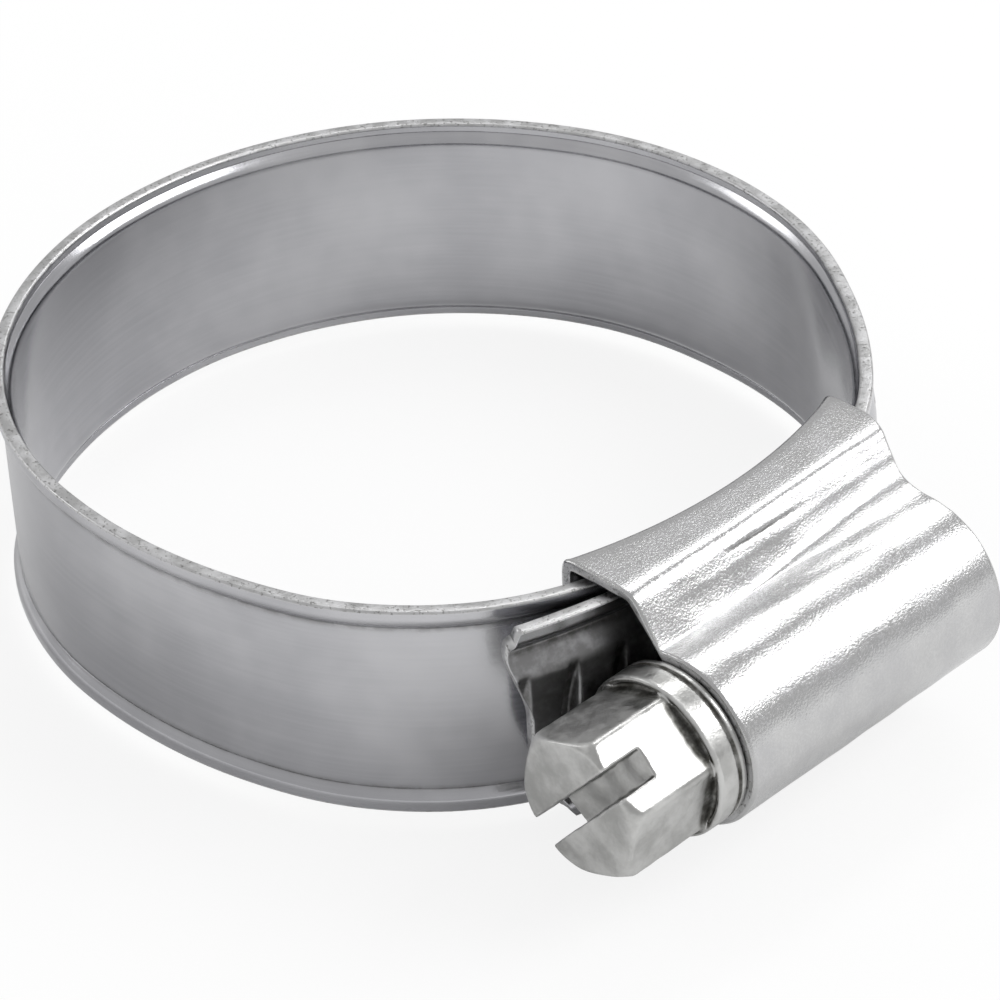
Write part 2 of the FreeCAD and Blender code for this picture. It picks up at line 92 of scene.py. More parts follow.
# the way of the strip: radii about the saddle's and the sprung plate's centres, places along Y, angles
SADDLE_RADIUS = 40.0 * MM
SADDLE_RELIEF = 0.1 * MM
PLATE_RADIUS = 25.5 * MM
FREE_RADIUS = 41.63 * MM
SEAT_HEIGHT = 0.63 * MM
SEAM_PLACE = 2.6 * MM
TONGUE_PLACE = 1.4 * MM
FAR_SHOULDER = math.radians(60)
NEAR_SHOULDER = math.radians(262)
WAVE_DRAW = 0.036 * MM
LOWER_TAPER = 0.8 * MM

# the thread: where grooves and turns lie, and how deep they mesh
PITCH = 2.65 * MM
WORM_RADIUS = 3.85 * MM
MESH_DEPTH = 0.45 * MM
GROOVE_PLACE = -0.95 * MM
RING_GROOVE = 0.42 * MM
THREAD_MIDDLE = -0.83 * MM
THREAD_REACH = 7.3 * MM
MOAT_RADIUS = 3.70 * MM
MOAT_DEPTH = 0.24 * MM

# the housing: stations along Y, points from saddle to waist and round the barrel, rows of a rounded end
HOUSING_STATIONS = 120
HOUSING_COUNTS = (44, 28, 26, 8)
BARREL_COUNT = 72
BARREL_ENTRY = 106
END_ROWS = 5
HOUSING_EDGE = 0.16 * MM
# each fold's place round the section, how it fans out, its width and its height in millimetres
HOUSING_FOLDS = ((0.42, 0.03, 0.014, -0.022), (0.475, 0.02, 0.012, 0.018), (0.56, 0.05, 0.02, 0.03),
                 (0.64, 0.06, 0.022, -0.04), (0.74, 0.06, 0.03, 0.02))

FILL_STRENGTH = 0.64
# each lamp's name, direction, distance, size and radiance
LAMPS = (("lamp_overhead", (-0.27, 0.56, 0.785), 0.5, (0.10, 0.36), 4.4),
         ("lamp_right", (0.53, 0.56, 0.63), 0.5, (0.22, 0.36), 4.8),
         ("lamp_left", (-0.85, -0.45, 0.5), 0.6, (0.25, 0.18), 2.2))


# ---------------------------------------------------------------- sizes and colours

def length(label, text, value):
    """Property for one length in metres."""
    return bpy.props.FloatProperty(name=label, description=text, default=value, unit="LENGTH",
                                   precision=5)


def colour(label, text, value):
    """Property for one linear colour."""
    return bpy.props.FloatVectorProperty(name=label, description=text, default=value, size=3,
                                         subtype="COLOR", min=0.0, max=1.0)


class ClampStripSizes(bpy.types.PropertyGroup):
    """Section and thread of the strip."""

    thickness: length("Thickness", "Thickness of the sheet", SHEET)
    half_width: length("Half width", "Half the strip's width", BAND_HIGH.z)
    rim_flare: length("Rim flare", "How far the bent edges stand out from the web", RIM_FLARE)
    rim_root: length("Rim root", "Where the web begins to bend outwards", 4.86 * MM)
    rim_top: length("Rim top", "Where the bent edge is straight again", 5.5 * MM)
    land_foot: length("Land foot", "Half width of the raised land where it meets the web", 4.7 * MM)
    land_top: length("Land top", "Half width of the raised land at its top", 3.2 * MM)
    land_rise: length("Land rise", "Height of the raised land over the web", 0.55 * MM)
    pitch: length("Pitch", "Distance from one thread groove to the next", PITCH)
    groove_depth: length("Groove depth", "Depth of a thread groove at its middle", 0.66 * MM)
    groove_floor: length("Groove floor", "Half width of a groove at its floor", 0.24 * MM)
    groove_mouth: length("Groove mouth", "Half width of a groove at the land", 0.54 * MM)
    groove_sweep: length("Groove sweep", "Radius of the arc that a groove's floor follows", 9.6 * MM)
    tail_corner: length("Tip corner", "How far each corner of the free end is rounded", 2.0 * MM)


class ClampHousingSizes(bpy.types.PropertyGroup):
    """Pressed housing."""

    saddle_radius: length("Saddle radius", "Radius of the curved plate under the strip", SADDLE_RADIUS)
    wall: length("Wall", "Thickness of the pressed sheet", 0.6 * MM)
    barrel_radius: length("Barrel radius", "Outer radius of the screw's barrel", 4.63 * MM)
    bore_radius: length("Bore radius", "Inner radius of the screw's barrel", 3.93 * MM)
    ridge: length("Ridge", "Place of the outer ridge along X", 24.34 * MM)
    lip: length("Lip", "Depth of the inward lips at both ends of the barrel", 0.95 * MM)
    overhang: length("Overhang", "How far the flanges reach beyond the barrel's far end", 0.9 * MM)


class ClampScrewSizes(bpy.types.PropertyGroup):
    """Worm screw."""

    axis: length("Axis", "Place of the screw's axis along X", 27.43 * MM)
    core: length("Core", "Radius at the root of the thread", 2.9 * MM)
    crest: length("Crest", "Radius at the crest of the thread", 3.76 * MM)
    pitch: length("Pitch", "Distance from one turn of the thread to the next", PITCH)
    journal: length("Journal", "Radius of the end journal", 2.3 * MM)
    collar: length("Collar", "Radius of the collar", 4.24 * MM)
    collar_length: length("Collar length", "Length of the collar", 1.9 * MM)
    flats: length("Across flats", "Width of the hexagon across its flats", 7.0 * MM)
    hex_length: length("Hexagon length", "Length of the hexagon", 5.2 * MM)
    slot_width: length("Slot width", "Width of the screwdriver slot", 1.5 * MM)
    slot_depth: length("Slot depth", "Depth of the screwdriver slot", 2.35 * MM)
    hex_turn: bpy.props.FloatProperty(
        name="Turn", description="Direction of the slot about the screw's axis",
        default=math.radians(50), subtype="ANGLE")


class ClampFinish(bpy.types.PropertyGroup):
    """Colours of the plated and the bare steel."""

    strip: colour("Strip", "Plated strip", (0.42, 0.42, 0.44))
    strip_pale: colour("Strip, pale", "Paler cloud in the plating of the strip", (0.74, 0.74, 0.755))
    housing: colour("Housing", "Bright plating of the housing", (0.55, 0.55, 0.55))
    housing_pale: colour("Housing, pale", "Crystals in the plating of the housing", (0.68, 0.68, 0.68))
    screw: colour("Screw", "Plating of the screw", (0.43, 0.43, 0.42))
    screw_pale: colour("Screw, pale", "Rubbed plating of the screw", (0.60, 0.60, 0.59))
    # this dark colour is painted shade in corners, creases and hollows, and tarnish in the pits of cut faces
    shade_and_tarnish: colour("Shade and tarnish", "Painted shade in corners and tarnish in pits", (0.060, 0.057, 0.048))
    bare: colour("Bare steel", "Cut faces of the sheet", (0.50, 0.50, 0.50))


class ClampStudio(bpy.types.PropertyGroup):
    """Camera, floor and lamps."""

    camera_place: bpy.props.FloatVectorProperty(
        name="Camera place", description="Place of the camera",
        default=(0.135468, -0.122687, 0.122799), subtype="TRANSLATION")
    camera_aim: bpy.props.FloatVectorProperty(
        name="Camera aim", description="Point at the middle of the frame",
        default=(0.007177, -0.001999, 0.0), subtype="TRANSLATION")
    camera_roll: bpy.props.FloatProperty(
        name="Camera roll", description="Turn of the camera about its line of sight",
        default=math.radians(-2.9218), subtype="ANGLE")
    lens: bpy.props.FloatProperty(name="Lens", description="Focal length in millimetres", default=152.06)
    floor_radius: length("Floor radius", "Radius of the floor", 0.6)
    lamp_level: bpy.props.FloatProperty(
        name="Lamp level", description="Factor on every lamp's power", default=1.0)


# ---------------------------------------------------------------- numpy helpers

def smooth_step(value):
    """0 below 0, 1 above 1, and 3v^2 - 2v^3 between them."""
    value = np.clip(value, 0.0, 1.0)
    return value * value * (3 - 2 * value)


def soft_positive(value, width):
    """max(value, 0) with its corner rounded over about width."""
    return 0.5 * (value + np.sqrt(value * value + width * width))


def soft_max(first, second, width):
    """The larger of two, with the crease between them rounded over width."""
    blend = np.clip(width - np.abs(first - second), 0, None) / width
    return np.maximum(first, second) + blend * blend * width / 4


def soft_min(first, second, width):
    """The smaller of two, with the crease between them rounded over width."""
    return -soft_max(-first, -second, width)


def ripple(points, size, seed, waves=24):
    """Smooth random field of about unit height: sine waves of about one length in random directions."""
    random = np.random.default_rng(seed)
    aims = random.normal(size=(waves, 3))
    aims /= np.linalg.norm(aims, axis=1)[:, None]
    lengths = size * random.uniform(0.7, 1.5, waves)
    starts = random.uniform(0, TURN, waves)
    field = np.zeros(points.shape[:-1])
    for aim, wave, start in zip(aims, lengths, starts):
        field += np.sin(points @ (aim * TURN / wave) + start)
    return field * math.sqrt(2 / waves)


def make_piece(name, points, faces, attributes=None, materials=(), slots=None, closed=True):
    """Object at the origin from an array of points in metres and an array of quads.

    The faces of a closed piece are turned outwards.
    """
    mesh = bpy.data.meshes.new(name)
    mesh.vertices.add(len(points))
    mesh.vertices.foreach_set("co", np.ascontiguousarray(points, np.float32).ravel())
    mesh.loops.add(faces.size)
    mesh.loops.foreach_set("vertex_index", np.ascontiguousarray(faces, np.int32).ravel())
    mesh.polygons.add(len(faces))
    mesh.polygons.foreach_set("loop_start", np.arange(0, faces.size, faces.shape[1], dtype=np.int32))
    for material in materials:
        mesh.materials.append(material)
    if slots is not None:
        mesh.polygons.foreach_set("material_index", slots.astype(np.int32))
    mesh.polygons.foreach_set("use_smooth", np.ones(len(faces), bool))
    for label, values in (attributes or {}).items():
        kind, field = ("FLOAT", "value") if values.ndim == 1 else ("FLOAT_VECTOR", "vector")
        layer = mesh.attributes.new(label, kind, "POINT")
        layer.data.foreach_set(field, values.astype(np.float32).ravel())
    mesh.update()
    mesh.validate()
    if closed:
        turn_outwards(mesh)
    piece = bpy.data.objects.new(name, mesh)
    bpy.context.scene.collection.objects.link(piece)
    return piece


def turn_outwards(mesh):
    """Turn every face of a closed mesh outwards."""
    work = bmesh.new()
    work.from_mesh(mesh)
    bmesh.ops.recalc_face_normals(work, faces=work.faces)
    work.to_mesh(mesh)
    work.free()


def grid_faces(rows, columns, closed=True):
    """Quads of a grid of points numbered row by row; closed joins the last column to the first."""
    starts = np.arange(columns if closed else columns - 1)
    row, column = np.meshgrid(np.arange(rows - 1), starts, indexing="ij")
    following = (column + 1) % columns
    return np.stack([row * columns + column, row * columns + following,
                     (row + 1) * columns + following, (row + 1) * columns + column], -1).reshape(-1, 4)


def mirrored_cap(start, columns, flip):
    """Quads that close a loop whose second half runs back alongside its first half."""
    first = np.arange(columns // 2 - 1)
    quads = np.stack([first, first + 1, columns - 2 - first, columns - 1 - first], -1) + start
    return quads[:, ::-1] if flip else quads


# ---------------------------------------------------------------- the strip

def arc_from(start, direction, finish):
    """Arc that leaves start along direction and ends at finish: centre, radius, begin and end angle."""
    normal = np.array([-direction[1], direction[0]])
    chord = finish - start
    radius = chord @ chord / (2 * normal @ chord)
    centre = start + normal * radius
    begin = math.atan2(*(start - centre)[::-1])
    sweep = math.atan2(*(finish - centre)[::-1]) - begin
    sweep = (sweep + math.pi) % TURN - math.pi
    return centre, abs(radius), begin, begin + sweep


def two_arcs(start, leave, finish, arrive):
    """Two arcs joined smoothly, each tangent to one of the directions and of equal tangent lengths."""
    chord = finish - start
    spread = 2 * (1 - leave @ arrive)
    along = chord @ (leave + arrive)
    reach = (-along + math.sqrt(along * along + spread * (chord @ chord))) / spread
    joint = (start + finish + (leave - arrive) * reach) / 2
    first = arc_from(start, leave, joint)
    turned = (joint - first[0]) * math.copysign(1, first[3] - first[2])
    turned = np.array([-turned[1], turned[0]]) / first[1]
    return [first, arc_from(joint, turned, finish)]


def on_circle(centre, radius, angle):
    """Point of a circle."""
    return centre + radius * np.array([math.cos(angle), math.sin(angle)])


def tangent(angle):
    """Direction of travel on a circle, counterclockwise."""
    return np.array([-math.sin(angle), math.cos(angle)])


def strip_route():
    """Arcs of the inner face of the ring's strip in plan, and the saddle's centre.

    The arcs run counterclockwise from the seam in the housing to the fixed end. The ring is one arc and
    each of its shoulders a pair of arcs. The free end lies on an arc about the saddle's centre, the
    fixed one on the sprung plate, whose arc is tighter but has the same middle.
    """
    ring = np.zeros(2)
    bore = -BAND_LOW.x - (SHEET + RIM_FLARE)
    middle = (HOUSING_LOW.y + HOUSING_HIGH.y) / 2
    saddle = np.array([bore + SADDLE_RELIEF - SADDLE_RADIUS, middle])
    plate = np.array([saddle[0] + SADDLE_RADIUS - PLATE_RADIUS, middle])
    fixed = PLATE_RADIUS + SEAT_HEIGHT
    seam = math.asin((SEAM_PLACE - middle) / FREE_RADIUS)
    mouth = math.asin((HOUSING_LOW.y - middle) / fixed)
    tongue = math.asin((TONGUE_PLACE - middle) / fixed)
    arcs = two_arcs(on_circle(saddle, FREE_RADIUS, seam), tangent(seam),
                    on_circle(ring, bore, FAR_SHOULDER), tangent(FAR_SHOULDER))
    arcs.append((ring, bore, FAR_SHOULDER, NEAR_SHOULDER))
    arcs += two_arcs(on_circle(ring, bore, NEAR_SHOULDER), tangent(NEAR_SHOULDER),
                     on_circle(plate, fixed, mouth), tangent(mouth))
    arcs.append((plate, fixed, mouth, tongue))
    return arcs, saddle


def walk(arcs, step):
    """Points, outward normals and distances along a chain of arcs, about one step apart."""
    places, normals, distances = [], [], []
    travelled = 0.0
    for centre, radius, begin, end in arcs:
        count = max(2, int(round(radius * abs(end - begin) / step)) + 1)
        angle = np.linspace(begin, end, count)
        radial = np.stack([np.cos(angle), np.sin(angle)], -1)
        # the last point of an arc is the first of the next one
        keep = slice(0, -1) if len(places) < len(arcs) - 1 else slice(None)
        places.append((centre + radius * radial)[keep])
        normals.append((radial * math.copysign(1, end - begin))[keep])
        distances.append((travelled + radius * np.abs(angle - begin))[keep])
        travelled += radius * abs(end - begin)
    return np.concatenate(places), np.concatenate(normals), np.concatenate(distances)


def strip_section(sizes, fine):
    """Half loop of the strip's section, from its lower rim to its upper one.

    The middle of the sheet is the web, a smooth step outwards by the flare at each edge and the
    upright edge. Each column has an inner and an outer point, half the thickness to either side of it;
    at both rims the thickness shrinks as a quarter circle, which rounds the cut edges.
    """
    edge = 0.13 * MM
    flat = np.linspace(-sizes.rim_root, sizes.rim_root, fine)
    bend = np.linspace(sizes.rim_root, sizes.half_width - edge, BEND_POINTS + 1)[1:]
    turn = np.linspace(0, math.pi / 2, TIP_POINTS + 1)[1:]
    tip = sizes.half_width - edge + edge * np.sin(turn)
    across = np.concatenate([-tip[::-1], -bend[::-1], flat, bend, tip])
    rise = (np.abs(across) - sizes.rim_root) / (sizes.rim_top - sizes.rim_root)
    middle = sizes.thickness / 2 + sizes.rim_flare * smooth_step(rise)
    half = np.full(len(across), sizes.thickness / 2)
    shrink = edge * (1 - np.cos(turn))
    half[-TIP_POINTS:] -= shrink
    half[:TIP_POINTS] -= shrink[::-1]
    slope = np.gradient(middle, across)
    slope[np.abs(across) > sizes.rim_top] = 0
    lean = 1 / np.sqrt(1 + slope * slope)
    lean = np.stack([lean, -slope * lean], -1)
    centre = np.stack([middle, across], -1)
    return centre - lean * half[:, None], centre + lean * half[:, None], across


def land_height(sizes, across):
    """Height of the raised land over the web: flat on top, with sloping sides."""
    side = (sizes.land_foot - np.abs(across)) / (sizes.land_foot - sizes.land_top)
    return sizes.land_rise * smooth_step(side)


def groove_depth(sizes, along, across, first):
    """Depth of the thread grooves below the land.

    Each groove is the trace of a disc leaning at the thread's angle: its floor is an arc along the
    groove, so that it rises to a point at both ends, and its sides slope out to the mouth.
    """
    lean = math.atan2(sizes.pitch, TURN * WORM_RADIUS)
    nearest = along - first - across * math.tan(lean)
    nearest = (nearest + sizes.pitch / 2) % sizes.pitch - sizes.pitch / 2
    aside = np.abs(nearest * math.cos(lean))
    wall = np.clip(aside - sizes.groove_floor, 0, None)
    reach = sizes.groove_sweep - wall * sizes.groove_depth / (sizes.groove_mouth - sizes.groove_floor)
    lengthwise = across / math.cos(lean)
    dip = np.sqrt(np.clip(reach * reach - lengthwise * lengthwise, 0, None))
    dip -= sizes.groove_sweep - sizes.groove_depth
    return soft_positive(dip, 0.02 * MM)


def with_level(places, level):
    """Points in space from places in plan, one row for each station, and a level for each column."""
    return np.concatenate([places, np.broadcast_to(level[:, None], places.shape[:2] + (1,))], -1)


def build_sheet(name, sizes, route, land, first, wave, emboss=0.0, web_shade=0.0):
    """Strip carried along a route in plan: its places, its normals and the distance along it.

    Each has one row for each station and one column for each point across the strip. land is the share
    of the raised land, from 0 to 1, and first the distance to a groove. The outer face is lifted by the
    land and sunk by its grooves, the inner face by emboss times the land. The last argument is the share of
    painted shade, dark colour in place of shade, that lies all over the outer face of the web.
    """
    places, normals, along = route
    stations, columns = along.shape
    inner, outer, across = strip_section(sizes, columns - RIM_COLUMNS)
    rise = land_height(sizes, across) * land
    dip = groove_depth(sizes, along, across, first) * (rise / sizes.land_rise)
    lift_out = outer[:, 0] + rise - dip + wave
    lift_in = inner[:, 0] + emboss * rise + wave
    skin_out = with_level(places + normals * lift_out[..., None], outer[:, 1])
    skin_in = with_level(places + normals * lift_in[..., None], inner[:, 1])
    points = np.concatenate([skin_in[:, ::-1], skin_out], 1)
    loop = 2 * columns
    sides = grid_faces(stations, loop)
    ends = [mirrored_cap(0, loop, False), mirrored_cap((stations - 1) * loop, loop, True)]
    # painted shade: the hollow mask darkens the outer face where shade would fall, at the roots of the rims,
    # at the foot of the land and down the grooves, and over the whole web by the last argument
    from_edge = np.abs(across)
    root = np.exp(-((from_edge - sizes.rim_root) / (0.2 * MM)) ** 2)
    foot = np.exp(-((from_edge - sizes.land_foot) / (0.16 * MM)) ** 2)
    hollow = np.clip(0.75 * root * (1 - 0.4 * land) + 0.8 * foot * land, 0, 1)
    hollow = hollow + web_shade * smooth_step((sizes.rim_root - from_edge) / (0.8 * MM) + 0.35)
    hollow = np.clip(hollow + dip / sizes.groove_depth, 0, 1)
    rim = smooth_step((from_edge - sizes.half_width + 0.2 * MM) / (0.15 * MM))
    plain = np.zeros_like(along)
    sheet = np.stack([along, np.broadcast_to(across, along.shape), plain], -1)
    attributes = {
        "sheet": np.concatenate([sheet[:, ::-1], sheet + np.array([0, 0, 1.0])], 1).reshape(-1, 3),
        "hollow": np.concatenate([plain, hollow * (1 - rim)], 1).ravel(),
        "rim": np.tile(np.concatenate([rim[::-1], rim]), stations),
    }
    tips = TIP_POINTS + 1
    cut = np.ones((stations - 1, loop), np.int32)
    cut[:, TIP_POINTS:columns - tips] = 0
    cut[:, columns + TIP_POINTS:loop - tips] = 0
    slots = np.concatenate([cut.ravel(), np.ones(sum(len(end) for end in ends), np.int32)])
    points, faces = points.reshape(-1, 3), np.concatenate([sides, *ends])
    return make_piece(name, points, faces, attributes, (strip_material(), edge_material()), slots)


def build_band(sizes):
    """Ring of the clamp, from the seam under the housing round to its fixed end."""
    spacing = 0.18 * MM
    threaded = 0.47
    plain_stride = 3
    places, normals, along = walk(strip_route()[0], spacing)
    # the plain half of the ring needs fewer stations than the threaded one
    half_way = np.searchsorted(along, along[-1] * threaded)
    plain = np.arange(half_way, len(along) - 1, plain_stride)
    keep = np.concatenate([np.arange(half_way), plain, [len(along) - 1]])
    angle = np.unwrap(np.arctan2(places[keep, 1], places[keep, 0]))[:, None]
    across = strip_section(sizes, BAND_WEB_COLUMNS)[2]
    shape = (len(keep), len(across))
    route = [np.broadcast_to(values[keep][:, None], shape + values.shape[1:])
             for values in (places, normals, along)]
    land = 1 - smooth_step((angle - math.radians(176)) / math.radians(3))
    grid = with_level(route[0], across)
    away = smooth_step((angle - math.radians(35)) / 0.3) * smooth_step((math.radians(325) - angle) / 0.3)
    wave = ripple(grid * np.array([1, 1, 0.7]), 9 * MM, 3) * 0.014 * MM
    wave += ripple(grid, 4.2 * MM, 4) * 0.0026 * MM
    wave = (wave - WAVE_DRAW) * away
    # sprung shape: the far half tapers slightly towards its lower edge
    settled = smooth_step((angle - math.radians(58)) / 0.6) * smooth_step((math.radians(236) - angle) / 0.8)
    lower = (sizes.half_width - across) / (2 * sizes.half_width)
    wave = wave - settled * lower * LOWER_TAPER
    return build_sheet("band_strip", sizes, route, np.broadcast_to(land, shape), RING_GROOVE, wave)


def build_tail(sizes):
    """Threaded free end on the arc about the saddle's centre, with its two corners rounded off."""
    saddle = strip_route()[1]
    begin = math.asin((TAIL_LOW.y - saddle[1]) / FREE_RADIUS)
    end = math.asin((TAIL_HIGH.y - saddle[1]) / FREE_RADIUS)
    across = strip_section(sizes, TAIL_WEB_COLUMNS)[2]
    # the tip's outline bows out between its corners and leans back over the threaded land
    over = np.clip(np.abs(across) - (sizes.half_width - sizes.tail_corner), 0, sizes.tail_corner)
    back = 0.65 * MM * (over / sizes.tail_corner) ** 2
    back = back + 0.35 * MM + 0.95 * MM * smooth_step((4.6 * MM - across) / (4.0 * MM))
    back = back + 1.5 * MM * smooth_step((-1.5 * MM - across) / (4.5 * MM))
    start = begin + back / FREE_RADIUS
    angle = start + (end - start) * np.linspace(0, 1, TAIL_STATIONS)[:, None]
    radial = np.stack([np.cos(angle), np.sin(angle)], -1)
    places = saddle + FREE_RADIUS * radial
    # distances are taken at the depth where the worm meets the grooves
    stretch = FREE_RADIUS / (FREE_RADIUS + sizes.thickness + sizes.land_rise - MESH_DEPTH)
    along = FREE_RADIUS * (angle - begin) / stretch
    first = FREE_RADIUS * (math.asin(GROOVE_PLACE / (FREE_RADIUS + sizes.thickness)) - begin) / stretch
    wave = ripple(with_level(places, across), 5 * MM, 5) * 0.006 * MM
    route = (places, radial, along)
    # painted shade is laid over the whole outer web of the free end
    return build_sheet("tail_strip", sizes, route, np.ones_like(along), first, wave,
                       emboss=0.85, web_shade=0.75)


# ---------------------------------------------------------------- the housing

def housing_loop(corners, barrel, blur):
    """Closed section of the housing at each station.

    From the middle of the saddle it runs to the corner of the flange, along the flange to the ridge,
    down to the waist, round the barrel and back, mirrored in Z. barrel is the axis, the radius and the
    angle where the sheet meets it. The corners are rounded by averaging neighbouring points with a bell
    curve of width blur.
    """
    axis, radius, entry = barrel
    corners = [np.stack([x, z], -1) for x, z in corners]
    corners.append(np.stack([axis + radius * np.cos(entry), radius * np.sin(entry)], -1))
    upper = []
    for first, second, count in zip(corners[:-1], corners[1:], HOUSING_COUNTS):
        share = (np.arange(count) / count)[None, :, None]
        upper.append(first[:, None, :] + (second - first)[:, None, :] * share)
    angle = entry[:, None] * (1 - np.arange(BARREL_COUNT) / (BARREL_COUNT - 0.5))[None, :]
    upper.append(np.stack([axis + radius[:, None] * np.cos(angle), radius[:, None] * np.sin(angle)], -1))
    upper = np.concatenate(upper, 1)
    lower = upper[:, 1:][:, ::-1] * np.array([1, -1])
    loop = np.concatenate([upper, lower], 1)
    gaps = np.linalg.norm(np.roll(loop, -1, 1) - loop, axis=-1).mean()
    reach = int(4 * blur / gaps) + 1
    offsets = np.arange(-reach, reach + 1)
    weights = np.exp(-0.5 * (offsets * gaps / blur) ** 2)
    weights /= weights.sum()
    return sum(weight * np.roll(loop, offset, 1) for weight, offset in zip(weights, offsets))


def pressing_marks(solid, share):
    """Height of the marks that pressing left in the housing's outer skin, and the mask of its one crease.

    The folds are long and shallow and fan out from the mouth, and the crease is a short one on the slope.
    place runs from 0 at the saddle's middle to 1 at the far side of the barrel.
    """
    place = np.arange(solid.shape[1]) / solid.shape[1]
    place = np.minimum(place, 1 - place) * 2
    marks = np.zeros(solid.shape[:2])
    for centre, fan, width, size in HOUSING_FOLDS:
        line = centre + fan * (share - 0.3)
        marks += size * MM * np.exp(-((place - line) / width) ** 2) * smooth_step(share * 3 + 0.15)
    crease = np.exp(-((place - 0.45 - 0.05 * (share - 0.45)) / 0.005) ** 2)
    crease = crease * np.exp(-((share - 0.47) / 0.13) ** 4)
    marks -= 0.06 * MM * crease
    marks += ripple(solid, 2.6 * MM, 11) * 0.012 * MM + ripple(solid, 0.9 * MM, 12) * 0.0012 * MM
    return marks * (0.12 + 0.88 * smooth_step((place - 0.38) / 0.05)), crease


def outward_normals(loops):
    """Unit normals of closed loops in plan, pointing away from their middles."""
    ahead = np.roll(loops, -1, 1) - np.roll(loops, 1, 1)
    ahead /= np.linalg.norm(ahead, axis=-1)[..., None]
    normals = np.stack([ahead[..., 1], -ahead[..., 0]], -1)
    outwards = ((loops - loops.mean(1, keepdims=True)) * normals).sum()
    return normals * math.copysign(1, outwards)


def housing_skin(section, inwards, depth, inside):
    """Points of one skin along Y, with both ends drawn towards the other skin as a quarter circle."""
    bend = np.linspace(0, math.pi / 2, END_ROWS)
    draw = HOUSING_EDGE * (1 - np.cos(bend))[:, None, None]
    shift = HOUSING_EDGE * (1 - np.sin(bend))[:, None]
    first = (section[0] + inwards[0] * draw)[::-1]
    last = section[-1] + inwards[-1] * draw
    plan = np.concatenate([first, section[inside], last])
    level = np.concatenate([(depth[0] + shift)[::-1], depth[inside], depth[-1] - shift])
    return np.stack([plan[..., 0], level, plan[..., 1]], -1)


def build_housing(sizes):
    """One-piece pressed housing, open at both ends.

    The outer and the inner skin are loops carried along Y; the ends join them with rounded edges.
    Towards the far end the waist opens out and the flanges reach a little beyond the barrel.
    """
    low, high, top = HOUSING_LOW.y, HOUSING_HIGH.y, HOUSING_HIGH.z
    axis, wall = bpy.context.scene.clamp_screw.axis, sizes.wall
    share = np.linspace(0, 1, HOUSING_STATIONS)
    one = np.ones_like(share)
    bow = np.sqrt(PLATE_RADIUS ** 2 - ((high - low) * (share - 0.5)) ** 2)
    plate = strip_route()[1][0] + sizes.saddle_radius - PLATE_RADIUS + bow
    late = smooth_step((share - 0.25) / 0.75)
    entry = np.radians(BARREL_ENTRY - 6 * late)
    corners = ((plate, 0 * one), (plate, top * one), (sizes.ridge - 0.35 * MM * late, top * one),
               ((26.1 - 0.65 * late) * MM, (4.42 + 0.56 * late) * MM))
    outer = housing_loop(corners, (axis, sizes.barrel_radius * one, entry), 0.42 * MM)
    neck, steep = sizes.bore_radius + 0.12 * MM, math.radians(BARREL_ENTRY)
    bore = np.where(np.abs(share - 0.5) > 0.46, sizes.bore_radius - sizes.lip, sizes.bore_radius)
    corners = ((plate + wall, 0 * one), (plate + wall, (top - wall) * one),
               ((sizes.ridge - wall / 2) * one, (top - wall) * one),
               ((axis + neck * math.cos(steep)) * one, neck * math.sin(steep) * one))
    inner = housing_loop(corners, (axis, bore, steep * one), 0.16 * MM)
    share = share[:, None]
    reach = smooth_step((25.4 * MM - outer[..., 0]) / (3.2 * MM)) * sizes.overhang
    depth = low + (high - low + reach) * share
    marks, crease = pressing_marks(np.concatenate([outer, depth[..., None]], -1), share)
    free_skin = smooth_step((outer[..., 0] - plate[:, None] - 1.4 * MM) / (1.0 * MM))
    outer = outer + outward_normals(outer) * (marks * free_skin)[..., None]
    outer = np.clip(outer, (-HOUSING_HIGH.x, -top), (HOUSING_HIGH.x, top))
    span = outer - inner
    span /= np.linalg.norm(span, axis=-1)[..., None]
    inside = np.abs(depth[:, 0] - (low + high) / 2) < (high - low) / 2 - 1.2 * HOUSING_EDGE
    skins = [housing_skin(outer, -span, depth, inside), housing_skin(inner, span, depth, inside)]
    rows, loop = skins[0].shape[:2]
    base = rows * loop
    skin = grid_faces(rows, loop)
    around = np.arange(loop)
    following = (around + 1) % loop
    front = np.stack([around, base + around, base + following, following], -1)
    faces = np.concatenate([skin, skin[:, ::-1] + base, front, front[:, ::-1] + base - loop])
    rim = np.ones((rows, loop))
    rim[END_ROWS:-END_ROWS] = 0
    # the crease's mask becomes the hollow attribute, which the material darkens as painted shade
    crest = np.zeros((rows, loop))
    crest[END_ROWS:-END_ROWS] = crease[inside]
    attributes = {
        "rim": np.tile(rim.ravel(), 2),
        "hollow": np.concatenate([crest.ravel(), np.zeros(base)]),
    }
    slots = np.repeat((0, 1), (2 * len(skin), 2 * loop))
    points = np.concatenate(skins).reshape(-1, 3)
    return make_piece("housing_shell", points, faces, attributes, (housing_material(), edge_material()), slots)


# ---------------------------------------------------------------- the screw

def rounded_post(radial, along, radius, low, high, edge):
    """Signed distance to a disc or post about the screw's axis, with rounded rims."""
    middle = (low + high) / 2
    over = np.stack([radial - radius + edge, np.abs(along - middle) - (high - low) / 2 + edge], -1)
    outside = np.linalg.norm(np.clip(over, 0, None), axis=-1)
    return outside + np.minimum(over.max(-1), 0) - edge


def hexagon(x, z, flats, turn, edge):
    """Signed distance, near its surface, to an upright hexagon with rounded corners."""
    widest = np.full_like(x, -1.0)
    for side in range(3):
        angle = turn + side * math.pi / 3
        apart = np.abs(x * math.cos(angle) + z * math.sin(angle)) - flats / 2
        widest = soft_max(widest, apart, edge)
    return widest


